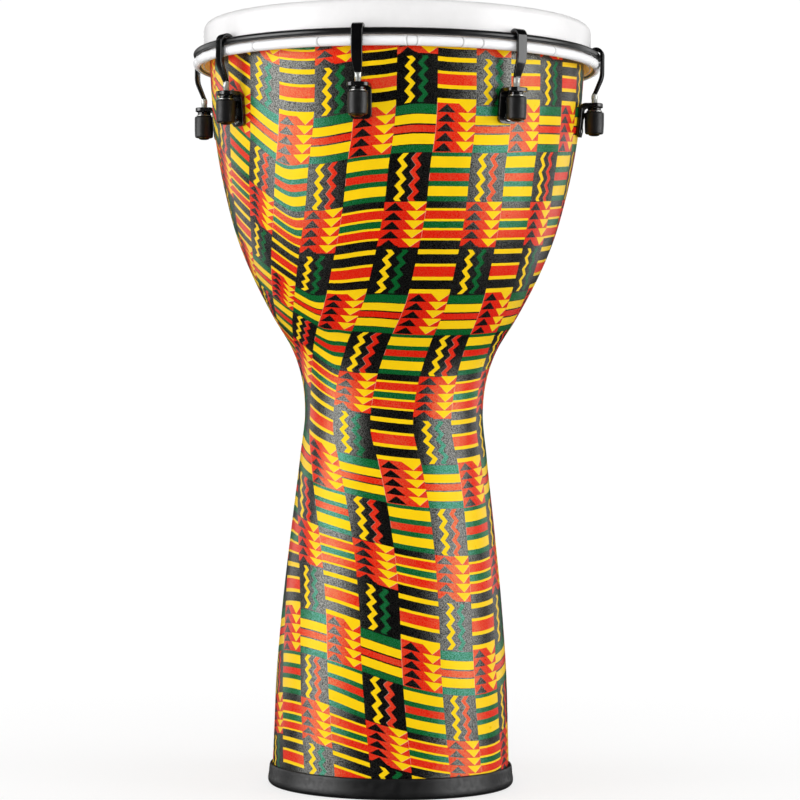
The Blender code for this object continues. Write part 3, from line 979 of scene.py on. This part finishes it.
def resampled(points, spacing):
    """Points at even spacing along a polyline."""
    reach = [0.0]
    for a, b in zip(points, points[1:]):
        reach.append(reach[-1] + (b - a).length)
    count = max(2, round(reach[-1] / spacing) + 1)
    flat = np.array([tuple(p) for p in points])
    at = np.linspace(0, reach[-1], count)
    return [Vector([float(np.interp(s, reach, flat[:, i])) for i in range(3)]) for s in at]


def hook_mesh(enamel, zinc):
    """Flat bar over the hoop, drawn in to a threaded rod."""
    thick = 2.8 * MM
    hoop_x = HOOP_RADIUS - ROD_OFFSET
    arch = HOOP_ROD + HOOK_ROOM + thick / 2
    path = []
    for degrees in np.linspace(142, 0, 22):
        a = math.radians(degrees)
        path.append(Vector((hoop_x + arch * math.cos(a), 0, HOOP_HEIGHT + arch * math.sin(a))))
    leg = hoop_x + arch
    knee = HOOP_HEIGHT - 17.2 * MM
    foot = HOOP_HEIGHT - 31.2 * MM
    bent = eased([path[-1], (leg, 0, knee), (0, 0, foot), (0, 0, foot - 3 * MM)], 3.6 * MM, 10)
    path += bent[1:]
    path = resampled(path, 0.7 * MM)
    half_width = [(foot - 0.01, 2.5 * MM), (foot - 1.2 * MM, 2.5 * MM), (foot + 1.0 * MM, 2.8 * MM),
                  (foot + 6.0 * MM, 3.6 * MM), (knee, 4.3 * MM), (knee + 4 * MM, 4.35 * MM),
                  (HOOP_HEIGHT + 0.02, 4.35 * MM)]
    stations = []
    for i, point in enumerate(path):
        ahead = path[min(i + 1, len(path) - 1)] - path[max(i - 1, 0)]
        width = float(through(half_width, point.z))
        roundness = float(smoothstep(-point.z, -(foot + 1.5 * MM), -(foot - 1.6 * MM)))
        section = bar_section(width, thick / 2, 0.75 * MM, roundness)
        if i == 0:
            section = shrink(section, 0.5 * MM)
        stations.append((point, ahead, section))
    rod_top = path[-1].z
    thread_end = BRACKET_TOP - 1.0 * MM
    rod_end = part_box("tuning_hook_1")[0].z
    steps = math.ceil((rod_top - thread_end) / (THREAD_PITCH / 8))
    for k in range(1, steps + 1):
        z = rod_top - (rod_top - thread_end) * k / steps
        start = smoothstep(k, 0, 12)
        section = []
        for y, x in bar_section(1 * MM, 1 * MM, 0, 1.0):
            turn = (z / THREAD_PITCH - math.atan2(y, x) / math.tau) % 1
            groove = 1 - abs(turn - 0.5) * 2
            grow = 1 - THREAD_DEPTH / ROD_RADIUS * groove * start
            section.append((y * grow, x * grow))
        stations.append((Vector((0, 0, z)), Vector((0, 0, -1)), section))
    plain = bar_section(1 * MM, 1 * MM, 0, 1.0)
    for z in (thread_end - 0.2 * MM, rod_end + 0.6 * MM):
        stations.append((Vector((0, 0, z)), Vector((0, 0, -1)), plain))
    stations.append((Vector((0, 0, rod_end)), Vector((0, 0, -1)), shrink(plain, 0.5 * MM)))
    mesh = swept("hook", stations)
    shade(mesh, 50)
    mesh.materials.append(enamel)
    mesh.materials.append(zinc)
    for face in mesh.polygons:
        if face.center.z < foot + 0.2 * MM:
            face.material_index = 1
    return mesh


def plate_normal():
    return Vector((math.cos(PLATE_LEAN), 0, -math.sin(PLATE_LEAN)))


def screw_seat(height):
    """Where a screw's head sits on the plate's outer face."""
    across = PLATE_FOOT - ROD_OFFSET + (height - BRACKET_LOW) * math.tan(PLATE_LEAN)
    return Vector((across, 0, height)) + plate_normal() * PLATE / 2


def bracket_mesh(enamel):
    """An L of flat bar with eased edges: a plate on the shell and a flange for the rod."""
    lean = Vector((math.sin(PLATE_LEAN), 0, math.cos(PLATE_LEAN)))
    foot = Vector((PLATE_FOOT - ROD_OFFSET, 0, BRACKET_LOW))
    centre_z = FLANGE_MIDDLE - BEND
    climb = (centre_z + BEND * math.sin(PLATE_LEAN) - BRACKET_LOW) / lean.z
    centre = foot + lean * climb + plate_normal() * BEND

    def corner_half(along, corner):
        inset = max(corner - along, 0)
        return PLATE_HALF - corner + math.sqrt(corner ** 2 - inset ** 2)

    stations = []
    corner = 4.0 * MM
    for along in corner * (1 - np.cos(np.linspace(0, math.pi / 2, 9))):
        stations.append((foot + lean * along, lean, corner_half(along, corner)))
    stations.append((foot + lean * climb * 0.6, lean, PLATE_HALF))
    for a in np.linspace(PLATE_LEAN, math.pi / 2, 14):
        normal = Vector((math.cos(a), 0, -math.sin(a)))
        along = Vector((math.sin(a), 0, math.cos(a)))
        stations.append((centre - normal * BEND, along, PLATE_HALF))
    tip = FLANGE_TIP - ROD_OFFSET
    corner = 6.0 * MM
    for along in corner * (1 - np.cos(np.linspace(math.pi / 2, 0, 12))):
        stations.append((Vector((tip - along, 0, FLANGE_MIDDLE)), Vector((1, 0, 0)),
                         corner_half(along, corner)))
    full = []
    for i, (point, along, half) in enumerate(stations):
        section = bar_section(half, PLATE / 2, 0.55 * MM)
        if i in (0, len(stations) - 1):
            section = shrink(section, 0.45 * MM)
        full.append((point, along, section))
    eased_ends = [(full[0][0], full[0][1], full[0][2])]
    first, last = full[0], full[-1]
    eased_ends.append((first[0] + first[1].normalized() * 0.2 * MM, first[1],
                       bar_section(stations[0][2], PLATE / 2, 0.55 * MM)))
    eased_ends += full[1:-1]
    eased_ends.append((last[0] - last[1].normalized() * 0.2 * MM, last[1],
                       bar_section(stations[-1][2], PLATE / 2, 0.55 * MM)))
    eased_ends.append(last)
    mesh = swept("bracket", eased_ends)
    holes = [(Vector((0, 0, FLANGE_MIDDLE - 6 * MM)), Vector((0, 0, FLANGE_MIDDLE + 6 * MM)), 3.0 * MM)]
    for height in screw_heights():
        seat = screw_seat(height)
        holes.append((seat - plate_normal() * 6 * MM, seat + plate_normal() * 2 * MM, 2.3 * MM))
    mesh = drilled(mesh, holes)
    mesh.materials.clear()
    mesh.materials.append(enamel)
    return mesh


def screw_heights():
    """Heights of the upper and lower screws, from their CAD nodes' boxes."""
    heights = []
    for node in ("upper_bolt_1", "lower_bolt_1"):
        low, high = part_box(node)
        heights.append((low.z + high.z) / 2)
    return heights


def screw_mesh(zinc):
    """A domed cap screw with a six-sided socket, along +Z from its seat."""
    columns = 48
    socket = 1.35 * MM

    def ring(radius, z, six=False):
        points = []
        for k in range(columns):
            a = math.tau * k / columns
            r = radius
            if six:
                r = radius / math.cos((a + math.pi / 6) % (math.pi / 3) - math.pi / 6)
            points.append((r * math.cos(a), r * math.sin(a), z))
        return points

    rows = [ring(1e-9, 0.35 * MM), ring(socket * 0.97, 0.35 * MM, True), ring(socket, 0.45 * MM, True),
            ring(socket, 1.10 * MM, True), ring(socket * 1.05, 1.17 * MM, True)]
    for r, z in ((1.75, 1.20), (2.3, 1.13), (2.8, 0.98), (3.2, 0.74), (3.42, 0.50), (3.5, 0.36),
                 (3.4, 0.30), (2.0, 0.30)):
        rows.append(ring(r * MM, z * MM))
    rows += [ring(2.0 * MM, -8.0 * MM), ring(1.6 * MM, -8.5 * MM), ring(1e-9, -8.5 * MM)]
    mesh = grid_mesh("screw", rows)
    shade(mesh, 35)
    mesh.materials.append(zinc)
    return mesh


def nut_mesh(brass, zinc, dark):
    """A long brass nut with a washer face on top and a domed end."""
    low, high = (corner.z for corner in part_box("tuning_nut_1"))
    bore = ROD_RADIUS + 0.1 * MM
    outline = [
        (0.0, high - 19.6 * MM), (bore, high - 19.6 * MM), (bore, high - 0.2 * MM),
        (bore + 0.3 * MM, high), (4.9 * MM, high), (5.3 * MM, high - 0.3 * MM),
        (5.3 * MM, high - 2.2 * MM), (6.0 * MM, high - 2.3 * MM), (6.2 * MM, high - 2.5 * MM),
        (6.2 * MM, high - 3.1 * MM), (5.9 * MM, high - 3.4 * MM), (4.8 * MM, high - 3.5 * MM),
        (4.8 * MM, low + 1.9 * MM), (4.5 * MM, low + 1.1 * MM), (3.8 * MM, low + 0.5 * MM),
        (2.6 * MM, low + 0.12 * MM), (0.0, low),
    ]
    mesh = turned("nut", eased(outline, 0.25 * MM, 3), 64, closed=False)
    mesh.materials.append(brass)
    mesh.materials.append(zinc)
    mesh.materials.append(dark)
    for face in mesh.polygons:
        if face.center.z > high - 2.3 * MM:
            face.material_index = 2
        elif face.center.z > high - 6.0 * MM:
            face.material_index = 1
    return mesh


def sleeve_mesh(rubber):
    """The rubber grip on a nut: slightly tapered and rounded below."""
    low, high = (corner.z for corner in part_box("nut_sleeve_1"))
    outline = [
        (5.1 * MM, high - 0.4 * MM), (5.4 * MM, high), (7.1 * MM, high), (7.65 * MM, high - 0.5 * MM),
        (7.75 * MM, high - 1.6 * MM), (7.7 * MM, low + 7.0 * MM), (7.4 * MM, low + 1.3 * MM),
        (7.1 * MM, low + 0.4 * MM), (6.5 * MM, low), (5.5 * MM, low), (5.1 * MM, low + 0.3 * MM),
    ]
    mesh = turned("sleeve", eased(outline, 0.4 * MM, 4, closed=True), 72)
    mesh.materials.append(rubber)
    return mesh


def build_lugs(enamel):
    zinc = zinc_finish()
    meshes = {
        "hook": hook_mesh(enamel, rod_finish()),
        "bracket": bracket_mesh(enamel_finish("bracket_enamel", 0.20)),
        "screw": screw_mesh(zinc_finish("screw_zinc", 0.18)),
        "nut": nut_mesh(brass_finish(), zinc_finish("washer_zinc", 0.34), enamel),
        "sleeve": sleeve_mesh(sleeve_finish()),
    }
    upper, lower = screw_heights()
    for number, theta in lug_thetas().items():
        turn = Matrix.Rotation(math.radians(theta - 90), 4, "Z")
        place = turn @ Matrix.Translation((ROD_OFFSET, 0, 0))

        def add(name, kind, body, node, local=Matrix.Identity(4)):
            piece = new_piece(name, meshes[kind])
            piece.matrix_world = place @ local
            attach(piece, body)
            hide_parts(node)

        add(f"bracket_{number}", "bracket", "shell", f"lug_bracket_{number}")
        for word, height in (("upper", upper), ("lower", lower)):
            aim = plate_normal().to_track_quat("Z", "Y").to_matrix().to_4x4()
            local = Matrix.Translation(screw_seat(height)) @ aim
            add(f"{word}_screw_{number}", "screw", "shell", f"{word}_bolt_{number}",
                local)
        add(f"hook_{number}", "hook", f"hook_{number}", f"tuning_hook_{number}")
        add(f"nut_{number}", "nut", f"nut_{number}", f"tuning_nut_{number}")
        add(f"sleeve_{number}", "sleeve", f"nut_{number}", f"nut_sleeve_{number}")


# ---------------------------------------------------------------- stage

def soft_light(name, theta, height, distance, size, radiance, aim_height, shines=True,
               lights=True):
    """A large rectangular light round the drum at theta, set by its brightness."""
    turn = math.radians(theta)
    place = Vector((distance * math.sin(turn), -distance * math.cos(turn), height))
    lamp = bpy.data.lights.new(name, "AREA")
    lamp.shape = "RECTANGLE"
    lamp.size, lamp.size_y = size
    lamp.energy = radiance * math.pi * size[0] * size[1]
    light = bpy.data.objects.new(name, lamp)
    aim = Vector((0, 0, aim_height)) - place
    light.matrix_world = Matrix.Translation(place) @ aim.to_track_quat("-Z", "Y").to_matrix().to_4x4()
    light.visible_glossy = shines
    light.visible_diffuse = lights
    light.visible_camera = False
    bpy.context.scene.collection.objects.link(light)


def build_world():
    """White to the camera; a dim room, a little brighter below, to everything else."""
    world = bpy.data.worlds.new("studio")
    world.use_nodes = True
    bpy.context.scene.world = world
    tree = world.node_tree
    path = tree.nodes.new("ShaderNodeLightPath")
    seen = Field(tree, path.outputs["Is Camera Ray"])
    mirrored = Field(tree, path.outputs["Is Glossy Ray"])
    direction = tree.nodes.new("ShaderNodeSeparateXYZ")
    tree.links.new(tree.nodes.new("ShaderNodeTexCoord").outputs["Generated"], direction.inputs[0])
    below = Field(tree, direction.outputs["Z"]).below(0.0)
    room = (below * 0.26 + 0.10) * (1.0 - mirrored * 0.93)
    strength = room + seen * (1.02 - room)
    background = tree.nodes["Background"]
    background.inputs["Color"].default_value = (1, 1, 1, 1)
    plug(tree, strength, background.inputs["Strength"])


def build_floor():
    """A pale floor that fades to white away from the drum and isn't there from below."""
    mesh = bpy.data.meshes.new("floor")
    reach = 40.0
    mesh.from_pydata([(-reach, -reach, 0), (reach, -reach, 0), (reach, reach, 0), (-reach, reach, 0)],
                     [], [(0, 1, 2, 3)])
    finish = Finish("pale_floor", roughness=1.0, specular_ior_level=0.0)
    away = finish.tree.nodes.new("ShaderNodeVectorMath")
    away.operation = "LENGTH"
    plug(finish.tree, finish.place(), away.inputs[0])
    fade = finish.spread(Field(finish.tree, away.outputs["Value"]), 0.15, 0.9)
    finish.set(base_color=finish.mix(fade, (0.30, 0.30, 0.30, 1), (0, 0, 0, 1)))
    finish.set(emission_color=(1, 1, 1, 1), emission_strength=finish.spread(fade, 0, 1, 0.72, 1.02))
    facing = finish.tree.nodes.new("ShaderNodeNewGeometry")
    clear = finish.tree.nodes.new("ShaderNodeBsdfTransparent")
    choice = finish.tree.nodes.new("ShaderNodeMixShader")
    finish.tree.links.new(facing.outputs["Backfacing"], choice.inputs["Fac"])
    finish.tree.links.new(finish.shader.outputs[0], choice.inputs[1])
    finish.tree.links.new(clear.outputs[0], choice.inputs[2])
    finish.tree.links.new(choice.outputs[0], finish.tree.nodes["Material Output"].inputs["Surface"])
    floor = new_piece("floor", mesh, finish.material)
    floor.location.z = -0.1 * MM
    floor.visible_diffuse = floor.visible_glossy = floor.visible_shadow = False


def build_stage():
    bpy.context.scene.view_settings.view_transform = "Standard"
    build_world()
    build_floor()
    soft_light("left_box", -72, 0.52, 1.9, (1.6, 1.6), 3.9, 0.40, lights=False)
    soft_light("right_box", 72, 0.52, 1.9, (1.7, 1.6), 3.3, 0.40, lights=False)
    soft_light("left_fill", -73, 0.52, 1.9, (1.15, 1.6), 4.2, 0.40, shines=False)
    soft_light("right_fill", 75, 0.52, 1.9, (1.15, 1.6), 4.0, 0.40, shines=False)
    soft_light("back_left_box", -132, 0.6, 1.9, (0.8, 1.5), 1.1, 0.40)
    soft_light("back_right_box", 132, 0.6, 1.9, (0.8, 1.5), 1.1, 0.40)
    soft_light("top_box", 0, 2.4, 0.3, (1.6, 1.6), 2.0, 0.3, shines=False)
    soft_light("front_fill", 0, 0.6, 2.6, (1.6, 1.6), 4.0, 0.3, shines=False)
    soft_light("back_fill", 180, 0.6, 2.6, (1.6, 1.6), 4.0, 0.3, shines=False)


def build_camera():
    distance = 2.13
    height = 0.307
    data = bpy.data.cameras.new("camera")
    data.sensor_width = 36.0
    data.lens = 118.8
    data.shift_x = 6 / 800
    data.shift_y = 2 / 800
    camera = bpy.data.objects.new("camera", data)
    look = Matrix.Rotation(math.radians(90), 4, "X")
    roll = Matrix.Rotation(math.radians(0.52), 4, "Z")
    camera.matrix_world = Matrix.Translation((0, -distance, height)) @ look @ roll
    bpy.context.scene.collection.objects.link(camera)
    bpy.context.scene.camera = camera


def main():
    enamel = enamel_finish("black_enamel", 0.15, 0.75)
    white = film_finish("white_film", screen(245, 244, 244), screen(234, 233, 233))
    amber = amber_finish()
    build_shell()
    build_foot()
    build_film_head(white, amber)
    build_film_roll(film_finish("hem_film_look", screen(254, 254, 255), screen(247, 247, 249)), amber)
    build_hoop(enamel_finish("hoop_enamel", 0.31, 0.9))
    frame["nodes"]["flesh_hoop"].data.materials.clear()
    frame["nodes"]["flesh_hoop"].data.materials.append(zinc_finish("flesh_steel", 0.35))
    build_lugs(enamel)
    build_stage()
    build_camera()


main()
